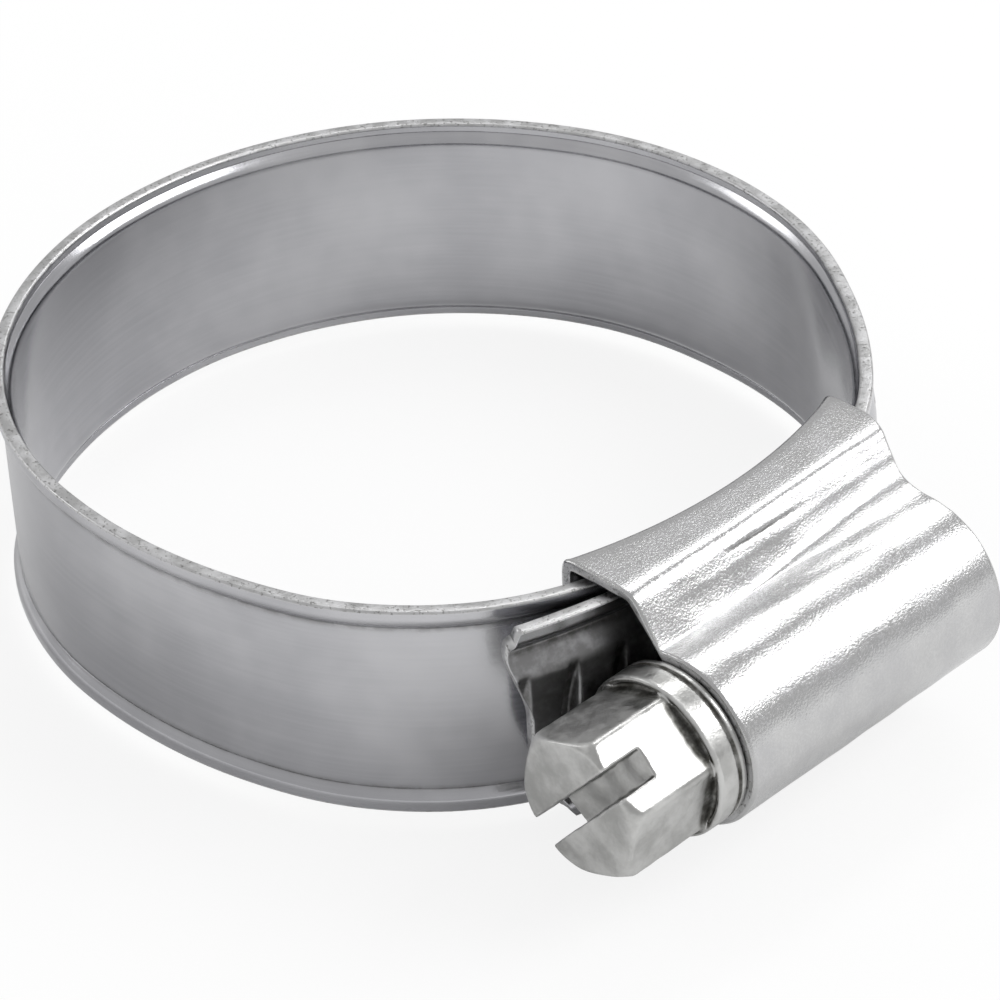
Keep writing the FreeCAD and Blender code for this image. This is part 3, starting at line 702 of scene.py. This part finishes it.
def screw_distance(points, sizes):
    """Signed distance to the screw, negative inside it.

    Posts for the core, journal and collar, a helical ridge whose flanks slope towards its crest, and a
    hexagon with a conical end and a slot, joined with small fillets and cut with rounded edges.
    """
    low = SCREW_LOW.y
    collar_front = low + sizes.hex_length
    collar_back = collar_front + sizes.collar_length - 0.06 * MM
    core_end = HOUSING_HIGH.y - 0.82 * MM
    x = points[..., 0] - sizes.axis
    y = points[..., 1]
    z = points[..., 2]
    radial = np.hypot(x, z)
    worn = ripple(points, 2.6 * MM, 21) * 0.006 * MM + ripple(points, 0.7 * MM, 22, 16) * 0.0028 * MM
    core = rounded_post(radial, y, sizes.core, collar_front + 0.3 * MM, core_end, 0.1 * MM)
    journal = rounded_post(radial, y, sizes.journal, collar_front, SCREW_HIGH.y, 0.15 * MM)
    # the thread: distance to the nearest turn, and half its width at each radius
    turned = np.arctan2(z, -x) / TURN * sizes.pitch
    first = (HOUSING_LOW.y + HOUSING_HIGH.y) / 2 + GROOVE_PLACE
    nearest = (y - turned - first + sizes.pitch / 2) % sizes.pitch - sizes.pitch / 2
    halfway = 0.12 * MM + (sizes.crest - radial) * 0.30
    ridge = soft_max(radial - sizes.crest, (np.abs(nearest) - halfway) * 0.9, 0.12 * MM)
    ridge = soft_max(ridge, np.abs(y - THREAD_MIDDLE) - THREAD_REACH, 0.3 * MM)
    body = soft_min(soft_min(core, journal, 0.15 * MM), ridge, 0.25 * MM)
    # the collar with a shallow groove round its rim
    collar = rounded_post(radial, y, sizes.collar, collar_front, collar_back, 0.17 * MM)
    band = np.abs(y - collar_back + 0.48 * MM) - 0.07 * MM
    collar = soft_max(collar, -soft_max(band, sizes.collar - 0.16 * MM - radial, 0.08 * MM), 0.12 * MM)
    collar = collar + worn * 0.5
    # the hexagon, cut by its rough end and by a cone of 45 degrees
    end = low + 0.04 * MM + 0.02 * MM * ripple(points, 3.0 * MM, 23, 12)
    head = hexagon(x, z, sizes.flats, sizes.hex_turn, 0.22 * MM) + worn
    head = soft_max(head, end - y, 0.16 * MM)
    cone = (radial - sizes.flats / 2 - (y - low)) * 0.707
    head = soft_max(head, cone, 0.15 * MM)
    head = soft_max(head, y - collar_front - 0.6 * MM, 0.1 * MM)
    moat = np.hypot(radial - MOAT_RADIUS, (y - collar_front) * 0.9) - MOAT_DEPTH
    collar = soft_max(collar, -moat, 0.12 * MM)
    body = soft_min(body, soft_min(collar, head, 0.24 * MM), 0.12 * MM)
    # the slot, sawn slightly askew with ragged walls
    across = -x * math.sin(sizes.hex_turn) + z * math.cos(sizes.hex_turn)
    lengthwise = x * math.cos(sizes.hex_turn) + z * math.sin(sizes.hex_turn)
    ragged = ripple(points, 1.1 * MM, 24, 16) * 0.014 * MM
    slot = np.abs(across + 0.02 * lengthwise) - sizes.slot_width / 2 + ragged
    floor = y - low - sizes.slot_depth + 0.04 * MM * ripple(points, 2.2 * MM, 25, 12)
    slot = soft_max(slot, floor, 0.12 * MM)
    return soft_max(body, -slot, 0.09 * MM)


def net_over(distance, axes):
    """Closed mesh of quads round the region where a sampled distance is negative.

    Every cell that the surface crosses gets one point, the mean of the crossings on its edges, and every
    edge of the lattice that it crosses gets one quad between its four cells.
    """
    inside = distance < 0
    shape = tuple(np.array(distance.shape) - 1)
    total = np.zeros((math.prod(shape), 3))
    hits = np.zeros(math.prod(shape))
    crossings = []
    for axis in range(3):
        low = [slice(None)] * 3
        high = [slice(None)] * 3
        low[axis] = slice(0, -1)
        high[axis] = slice(1, None)
        crossed = inside[tuple(low)] != inside[tuple(high)]
        where = np.argwhere(crossed)
        near, far = distance[tuple(low)][crossed], distance[tuple(high)][crossed]
        spots = np.stack([axes[k][where[:, k]] for k in range(3)], -1)
        ahead = axes[axis][where[:, axis] + 1] - axes[axis][where[:, axis]]
        spots[:, axis] += near / (near - far) * ahead
        one, two = (k for k in range(3) if k != axis)
        cells = []
        for step_one, step_two in ((0, 0), (1, 0), (1, 1), (0, 1)):
            cell = where.copy()
            cell[:, one] -= step_one
            cell[:, two] -= step_two
            flat = np.ravel_multi_index(cell.T, shape)
            for k in range(3):
                np.add.at(total[:, k], flat, spots[:, k])
            np.add.at(hits, flat, 1)
            cells.append(flat)
        crossings.append((axis, np.stack(cells, -1), near < 0))
    used = hits > 0
    index = np.cumsum(used) - 1
    quads = []
    for axis, cells, leaving in crossings:
        corners = index[cells]
        flip = leaving if axis != 1 else ~leaving
        corners[flip] = corners[flip][:, ::-1]
        quads.append(corners)
    return total[used] / hits[used][:, None], np.concatenate(quads)


def slope_of(function, points, step):
    """Gradient of a distance by central differences."""
    moves = np.eye(3) * step
    return np.stack([function(points + move) - function(points - move) for move in moves], -1) / (2 * step)


def build_screw(sizes):
    """Worm screw as the zero surface of its distance, sampled finer over the head than along the thread."""
    fine, coarse, edge, probe = 0.093 * MM, 0.18 * MM, 0.3 * MM, 0.55 * MM
    slabs = 12
    reach = sizes.collar + edge
    split = SCREW_LOW.y + sizes.hex_length + sizes.collar_length + edge
    side = np.arange(-reach, reach + fine, fine)
    along = np.concatenate([np.arange(SCREW_LOW.y - edge, split, fine),
                            np.arange(split, SCREW_HIGH.y + edge, coarse)])
    axes = (sizes.axis + side, along, side)
    lattice = np.stack(np.meshgrid(*axes, indexing="ij"), -1)
    sampled = np.concatenate([screw_distance(slab, sizes) for slab in np.array_split(lattice, slabs)])
    points, faces = net_over(sampled, axes)

    def distance(places):
        return screw_distance(places, sizes)

    # two steps along the slope bring the points onto the surface itself
    for _ in range(2):
        slope = slope_of(distance, points, 0.01 * MM)
        shift = distance(points)[:, None] * slope / np.clip((slope ** 2).sum(-1), 0.25, None)[:, None]
        points = points - np.clip(shift, -0.5 * fine, 0.5 * fine)
    outward = slope_of(distance, points, 0.02 * MM)
    outward /= np.linalg.norm(outward, axis=-1)[:, None]
    # painted shade: hollow estimates how enclosed each point is, as ambient occlusion would, and is kept weak
    # within the slot's depth of the head's end
    hollow = np.clip(1 - distance(points + outward * probe) / probe, 0, 1)
    hollow *= 0.12 + 0.88 * smooth_step((points[:, 1] - SCREW_LOW.y - sizes.slot_depth) / MM)
    crest = np.clip(1 + distance(points - outward * probe * 0.5) / (probe * 0.5), 0, 1)
    return make_piece("screw_body", points, faces, {"hollow": hollow, "rim": crest}, (screw_material(),))


# ---------------------------------------------------------------- shader groups

def once(store, name):
    """Decorator for the maker of a named material or group: the first call makes it, others find it."""
    def wrap(make):
        @functools.wraps(make)
        def find():
            return getattr(bpy.data, store).get(name) or make(name)
        return find
    return wrap


def feed(tree, socket, value):
    """Link a socket to another one, or set its own number or linear colour."""
    if isinstance(value, bpy.types.NodeSocket):
        tree.links.new(value, socket)
    elif socket.type == "RGBA":
        socket.default_value = (*value, 1.0)
    else:
        socket.default_value = value


def add(tree, kind, inputs, **settings):
    """Shader node with its settings made and its inputs, by name or number, fed."""
    node = tree.nodes.new("ShaderNode" + kind)
    for label, value in settings.items():
        setattr(node, label, value)
    for label, value in inputs.items():
        feed(tree, node.inputs[label], value)
    return node


def new_group(name, inputs, outputs):
    """Empty shader group: its tree, what it is given and its results. An input of None is a vector."""
    tree = bpy.data.node_groups.new(name, "ShaderNodeTree")
    for label, value in inputs.items():
        kind = "NodeSocketVector" if value is None else "NodeSocketFloat"
        socket = tree.interface.new_socket(name=label, in_out="INPUT", socket_type=kind)
        if value is not None:
            socket.default_value = value
    for label in outputs:
        tree.interface.new_socket(name=label, in_out="OUTPUT", socket_type="NodeSocketFloat")
    return tree, tree.nodes.new("NodeGroupInput").outputs, tree.nodes.new("NodeGroupOutput").inputs


def compute(tree, operation, *values, clamp=False):
    """Math node on sockets or numbers; returns its output."""
    return add(tree, "Math", dict(enumerate(values)), operation=operation, use_clamp=clamp).outputs[0]


def scaled(tree, value, factor, clamp=False):
    """Product of two sockets or numbers."""
    return compute(tree, "MULTIPLY", value, factor, clamp=clamp)


def remap(tree, value, from_low, from_high, to_low, to_high):
    """Map Range node, clamped and smooth; returns its output."""
    inputs = {"Value": value, "From Min": from_low, "From Max": from_high,
              "To Min": to_low, "To Max": to_high}
    return add(tree, "MapRange", inputs, interpolation_type="SMOOTHSTEP").outputs["Result"]


def cover(tree, base, *coats):
    """Colours laid over a base one after another, each through its own factor; returns the last colour."""
    for factor, coat in coats:
        node = add(tree, "Mix", {"Factor": factor}, data_type="RGBA")
        first, second = (socket for socket in node.inputs if socket.type == "RGBA")
        feed(tree, first, base)
        feed(tree, second, coat)
        base = next(socket for socket in node.outputs if socket.type == "RGBA")
    return base


def noise(tree, vector, scale, detail, rough):
    """Noise Texture node; returns its factor output."""
    inputs = {"Vector": vector, "Scale": scale, "Detail": detail, "Roughness": rough}
    return add(tree, "TexNoise", inputs).outputs["Fac"]


@once("node_groups", "Zinc plating")
def plating_group(name):
    """Zinc plating: a speckle of fine crystals and slow cloudy patches."""
    inputs = {"Vector": None, "Crystal scale": 6000.0, "Cloud scale": 350.0}
    tree, given, result = new_group(name, inputs, ("Speckle", "Cloud", "Height"))
    fine = noise(tree, given["Vector"], given["Crystal scale"], 3.0, 0.6)
    cloud = noise(tree, given["Vector"], given["Cloud scale"], 4.0, 0.62)
    feed(tree, result["Speckle"], remap(tree, fine, 0.42, 0.66, 0.0, 1.0))
    feed(tree, result["Cloud"], remap(tree, cloud, 0.35, 0.68, 0.0, 1.0))
    feed(tree, result["Height"], fine)
    return tree


@once("node_groups", "Rolling lines")
def rolling_group(name):
    """Rolling lines: streaks drawn out along the strip's length, read from its own coordinates."""
    tree, given, result = new_group(name, {"Vector": None, "Fineness": 5000.0}, ("Lines", "Height"))
    drawn = add(tree, "VectorMath", {0: given["Vector"], 1: (0.03, 1.0, 1.0)}, operation="MULTIPLY")
    lines = noise(tree, drawn.outputs[0], given["Fineness"], 3.0, 0.6)
    feed(tree, result["Lines"], remap(tree, lines, 0.35, 0.7, 0.0, 1.0))
    feed(tree, result["Height"], lines)
    return tree


@once("node_groups", "Wear and film")
def wear_and_shade_group(name):
    """Wear and painted shade: a broken mask of wear along edges, and a cloudy mask of painted shade, dark
    colour in place of shade, in hollows.
    """
    inputs = {"Vector": None, "Edge": 0.0, "Hollow": 0.0, "Edge share": 0.6, "Film share": 0.6}
    tree, given, result = new_group(name, inputs, ("Worn", "Film"))
    broken = noise(tree, given["Vector"], 2200.0, 4.0, 0.65)
    worn = scaled(tree, given["Edge"], given["Edge share"])
    worn = compute(tree, "ADD", worn, scaled(tree, broken, 0.5))
    worn = remap(tree, worn, 0.5, 0.8, 0.0, 1.0)
    feed(tree, result["Worn"], scaled(tree, worn, given["Edge"], clamp=True))
    # painted shade: the hollow mask, broken up by a cloud, marks where a dark colour stands in for shade
    cloud = noise(tree, given["Vector"], 1300.0, 3.0, 0.6)
    painted_shade = scaled(tree, given["Hollow"], given["Film share"])
    feed(tree, result["Film"], scaled(tree, painted_shade, remap(tree, cloud, 0.25, 0.65, 0.45, 1.0), clamp=True))
    return tree


def use_group(tree, group, **inputs):
    """Outputs of a group node whose inputs are fed with sockets or numbers."""
    named = {label.replace("_", " "): value for label, value in inputs.items()}
    return add(tree, "Group", named, node_tree=group).outputs


def attribute(tree, name, output="Fac"):
    """Output of a mesh attribute."""
    return add(tree, "Attribute", {}, attribute_name=name).outputs[output]


def bump(tree, height, strength, distance, **base):
    """Bump node, on top of another normal if one is given; returns its normal."""
    inputs = {"Strength": strength, "Distance": distance, "Height": height, **base}
    return add(tree, "Bump", inputs).outputs["Normal"]


def new_material(name):
    """Material, its tree, the inputs of its Principled shader and its object coordinates."""
    material = bpy.data.materials.new(name)
    material.use_nodes = True
    tree = material.node_tree
    return material, tree, tree.nodes["Principled BSDF"].inputs, add(tree, "TexCoord", {}).outputs["Object"]


def finish_metal(tree, shader, base, rough, normal):
    """Feed the Principled shader of a metal."""
    for label, value in (("Base Color", base), ("Roughness", rough), ("Normal", normal), ("Metallic", 1.0)):
        feed(tree, shader[label], value)


@once("materials", "Plated strip")
def strip_material(name):
    """Rolled strip with satin plating, fine lines along its length and painted shade, a dark colour in place
    of shade, at the roots of its edges, the foot of its land and in its grooves.
    """
    look = bpy.context.scene.clamp_finish
    material, tree, shader, spot = new_material(name)
    plating = use_group(tree, plating_group(), Vector=spot, Crystal_scale=5200.0, Cloud_scale=70.0)
    lines = use_group(tree, rolling_group(), Vector=attribute(tree, "sheet", "Vector"), Fineness=4200.0)
    wear = use_group(tree, wear_and_shade_group(), Vector=spot, Edge=attribute(tree, "rim"),
                     Hollow=attribute(tree, "hollow"), Edge_share=0.7, Film_share=0.8)
    # the hollow mask lays painted shade, not a real film, over the strip's creases and grooves
    base = cover(tree, look.strip,
                 (scaled(tree, plating["Cloud"], 0.4), look.strip_pale),
                 (scaled(tree, lines["Lines"], 0.10), look.strip_pale),
                 (wear["Film"], look.shade_and_tarnish), (wear["Worn"], look.bare))
    rough = remap(tree, plating["Cloud"], 0.0, 1.0, 0.15, 0.21)
    rough = compute(tree, "ADD", rough, scaled(tree, wear["Film"], 0.25))
    rough = compute(tree, "ADD", rough, scaled(tree, lines["Lines"], 0.05))
    normal = bump(tree, lines["Height"], 0.12, 0.00002)
    finish_metal(tree, shader, base, rough, bump(tree, plating["Height"], 0.3, 0.00001, Normal=normal))
    return material


@once("materials", "Cut edge")
def edge_material(name):
    """Cut face of the sheet: dull, pitted and darker than the plating."""
    look = bpy.context.scene.clamp_finish
    material, tree, shader, spot = new_material(name)
    plating = use_group(tree, plating_group(), Vector=spot, Crystal_scale=5200.0, Cloud_scale=1100.0)
    pits = remap(tree, plating["Height"], 0.34, 0.44, 1.0, 0.0)
    base = cover(tree, look.bare, (scaled(tree, plating["Cloud"], 0.45), look.strip_pale),
                 (scaled(tree, pits, 0.55), look.shade_and_tarnish))
    rough = remap(tree, plating["Cloud"], 0.0, 1.0, 0.30, 0.48)
    finish_metal(tree, shader, base, rough, bump(tree, plating["Height"], 0.6, 0.00003))
    return material


@once("materials", "Bright housing")
def housing_material(name):
    """Bright plating with a crystalline speckle, rubbed along its rims, with painted shade in its pressed
    crease.
    """
    look = bpy.context.scene.clamp_finish
    material, tree, shader, spot = new_material(name)
    plating = use_group(tree, plating_group(), Vector=spot, Crystal_scale=8000.0, Cloud_scale=420.0)
    wear = use_group(tree, wear_and_shade_group(), Vector=spot, Edge=attribute(tree, "rim"),
                     Hollow=attribute(tree, "hollow"), Edge_share=0.5, Film_share=0.75)
    # the hollow mask of the crease is darkened as painted shade
    base = cover(tree, look.housing,
                 (scaled(tree, plating["Speckle"], 0.5), look.housing_pale),
                 (scaled(tree, plating["Cloud"], 0.3), look.strip),
                 (wear["Film"], look.shade_and_tarnish), (wear["Worn"], look.bare))
    rough = remap(tree, plating["Cloud"], 0.0, 1.0, 0.13, 0.22)
    rough = compute(tree, "ADD", rough, scaled(tree, plating["Speckle"], 0.05))
    finish_metal(tree, shader, base, rough, bump(tree, plating["Height"], 0.5, 0.00004))
    return material


@once("materials", "Plated screw")
def screw_material(name):
    """Dull plating of the screw: pale and rubbed on crests, with painted shade, a dark film standing in for
    shade, in its corners.
    """
    look = bpy.context.scene.clamp_finish
    material, tree, shader, spot = new_material(name)
    plating = use_group(tree, plating_group(), Vector=spot, Crystal_scale=3200.0, Cloud_scale=620.0)
    deep = remap(tree, attribute(tree, "hollow"), 0.04, 0.42, 0.0, 1.0)
    sharp = remap(tree, attribute(tree, "rim"), 0.25, 0.7, 0.0, 1.0)
    wear = use_group(tree, wear_and_shade_group(), Vector=spot, Edge=sharp, Hollow=deep,
                     Edge_share=0.6, Film_share=0.95)
    # the occlusion estimate in hollow is darkened here as painted shade
    base = cover(tree, look.screw, (plating["Cloud"], look.screw_pale),
                 (wear["Film"], look.shade_and_tarnish), (wear["Worn"], look.screw_pale))
    rough = remap(tree, plating["Cloud"], 0.0, 1.0, 0.28, 0.42)
    rough = compute(tree, "ADD", rough, scaled(tree, wear["Film"], 0.2))
    finish_metal(tree, shader, base, rough, bump(tree, plating["Height"], 0.6, 0.00004))
    return material


# ---------------------------------------------------------------- the studio

def look_along(place, aim, roll=0.0, upright=(0, 0, 1)):
    """Rotation that points local -Z from place to aim, then turns about that line."""
    ahead = (Vector(aim) - Vector(place)).normalized()
    right = ahead.cross(Vector(upright)).normalized()
    up = right.cross(ahead)
    turned = right * math.cos(roll) + up * math.sin(roll)
    raised = up * math.cos(roll) - right * math.sin(roll)
    return Matrix((turned, raised, -ahead)).transposed().to_euler()


def seen_by_camera(tree):
    """1 for rays straight from the camera, 0 for all others."""
    return add(tree, "LightPath", {}).outputs["Is Camera Ray"]


def build_world():
    """White surroundings to the camera, and a soft grey fill for everything else."""
    world = bpy.data.worlds.new("Studio")
    bpy.context.scene.world = world
    world.use_nodes = True
    tree = world.node_tree
    shade = tree.nodes["Background"].inputs
    feed(tree, shade["Color"], (1, 1, 1))
    feed(tree, shade["Strength"], remap(tree, seen_by_camera(tree), 0.0, 1.0, FILL_STRENGTH, 1.0))


def build_floor(radius):
    """Square floor under the housing that turns to plain white away from the clamp."""
    side = np.linspace(-radius, radius, 13)
    across, along = np.meshgrid(side, side, indexing="ij")
    level = np.full_like(across, CAD_BOX[0].z - 0.02 * MM)
    points = np.stack([across, along, level], -1).reshape(-1, 3)
    faces = grid_faces(len(side), len(side), closed=False)[:, ::-1]
    material, tree, shader, spot = new_material("Pale floor")
    feed(tree, shader["Base Color"], (0.90, 0.90, 0.90))
    feed(tree, shader["Roughness"], 0.9)
    feed(tree, shader["Specular IOR Level"], 0.0)
    distance = add(tree, "VectorMath", {0: spot}, operation="LENGTH").outputs["Value"]
    white = add(tree, "Emission", {"Color": (1, 1, 1)}).outputs[0]
    factor = scaled(tree, remap(tree, distance, 0.028, 0.09, 0.84, 1.0), seen_by_camera(tree))
    grey = tree.nodes["Principled BSDF"].outputs[0]
    mixed = add(tree, "MixShader", {0: factor, 1: grey, 2: white}).outputs[0]
    tree.links.new(mixed, tree.nodes["Material Output"].inputs["Surface"])
    make_piece("floor", points, faces, None, (material,), closed=False)


def add_lamp(name, direction, distance, size, radiance, level):
    """Rectangular soft lamp that faces the clamp and looks about radiance bright."""
    data = bpy.data.lights.new(name, "AREA")
    data.shape = "RECTANGLE"
    data.size, data.size_y = size
    data.energy = radiance * math.pi * size[0] * size[1] * level
    lamp = bpy.data.objects.new(name, data)
    lamp.location = Vector(direction).normalized() * distance
    lamp.rotation_euler = look_along(lamp.location, (0, 0, 0), upright=(0, 1, 0))
    bpy.context.scene.collection.objects.link(lamp)


def build_camera(studio):
    """Camera at the clamp's own viewing angle."""
    data = bpy.data.cameras.new("Camera")
    data.lens = studio.lens
    data.sensor_width = 36.0
    data.clip_start, data.clip_end = 0.01, 10.0
    camera = bpy.data.objects.new("Camera", data)
    camera.location = studio.camera_place
    camera.rotation_euler = look_along(studio.camera_place, studio.camera_aim, studio.camera_roll)
    bpy.context.scene.collection.objects.link(camera)
    bpy.context.scene.camera = camera


# ---------------------------------------------------------------- operators

class CLAMP_OT_strip(bpy.types.Operator):
    """Build the ring of strip and its threaded free end."""

    bl_idname = "clamp.strip"
    bl_label = "Strip"

    def execute(self, context):
        band = build_band(context.scene.clamp_strip)
        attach(band, "clamp")
        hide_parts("band")
        tail = build_tail(context.scene.clamp_strip)
        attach(tail, "tail")
        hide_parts("band_tail")
        return {"FINISHED"}


class CLAMP_OT_housing(bpy.types.Operator):
    """Build the pressed housing."""

    bl_idname = "clamp.housing"
    bl_label = "Housing"

    def execute(self, context):
        shell = build_housing(context.scene.clamp_housing)
        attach(shell, "clamp")
        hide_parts("housing")
        return {"FINISHED"}


class CLAMP_OT_screw(bpy.types.Operator):
    """Build the worm screw."""

    bl_idname = "clamp.screw"
    bl_label = "Worm screw"

    def execute(self, context):
        screw = build_screw(context.scene.clamp_screw)
        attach(screw, "screw")
        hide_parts("worm_screw")
        return {"FINISHED"}


class CLAMP_OT_stage(bpy.types.Operator):
    """Set up the surroundings, floor, lamps and camera."""

    bl_idname = "clamp.stage"
    bl_label = "Studio"

    def execute(self, context):
        studio = context.scene.clamp_studio
        context.scene.view_settings.view_transform = "Standard"
        build_world()
        build_floor(studio.floor_radius)
        for lamp in LAMPS:
            add_lamp(*lamp, studio.lamp_level)
        build_camera(studio)
        return {"FINISHED"}


class CLAMP_PT_panel(bpy.types.Panel):
    """Sidebar panel that lists what can be built and the sizes and colours it uses."""

    bl_idname = "CLAMP_PT_panel"
    bl_label = "Hose clamp"
    bl_space_type = "VIEW_3D"
    bl_region_type = "UI"
    bl_category = "Hose clamp"

    def draw(self, context):
        scene = context.scene
        for operator in OPERATORS:
            self.layout.operator(operator.bl_idname)
        for name in GROUPS:
            group = getattr(scene, name)
            box = self.layout.box()
            for field in group.__annotations__:
                box.prop(group, field)


GROUPS = {
    "clamp_strip": ClampStripSizes,
    "clamp_housing": ClampHousingSizes,
    "clamp_screw": ClampScrewSizes,
    "clamp_finish": ClampFinish,
    "clamp_studio": ClampStudio,
}
OPERATORS = (CLAMP_OT_strip, CLAMP_OT_housing, CLAMP_OT_screw, CLAMP_OT_stage)


def register():
    """Register the classes and hang the property groups on the scene."""
    for item in (*GROUPS.values(), *OPERATORS, CLAMP_PT_panel):
        bpy.utils.register_class(item)
    for name, group in GROUPS.items():
        setattr(bpy.types.Scene, name, bpy.props.PointerProperty(type=group))


def unregister():
    """Undo register."""
    for name in GROUPS:
        delattr(bpy.types.Scene, name)
    for item in (CLAMP_PT_panel, *reversed(OPERATORS), *reversed(GROUPS.values())):
        bpy.utils.unregister_class(item)


def main():
    """Build everything."""
    register()
    bpy.ops.clamp.strip()
    bpy.ops.clamp.housing()
    bpy.ops.clamp.screw()
    bpy.ops.clamp.stage()


if __name__ == "__main__":
    main()
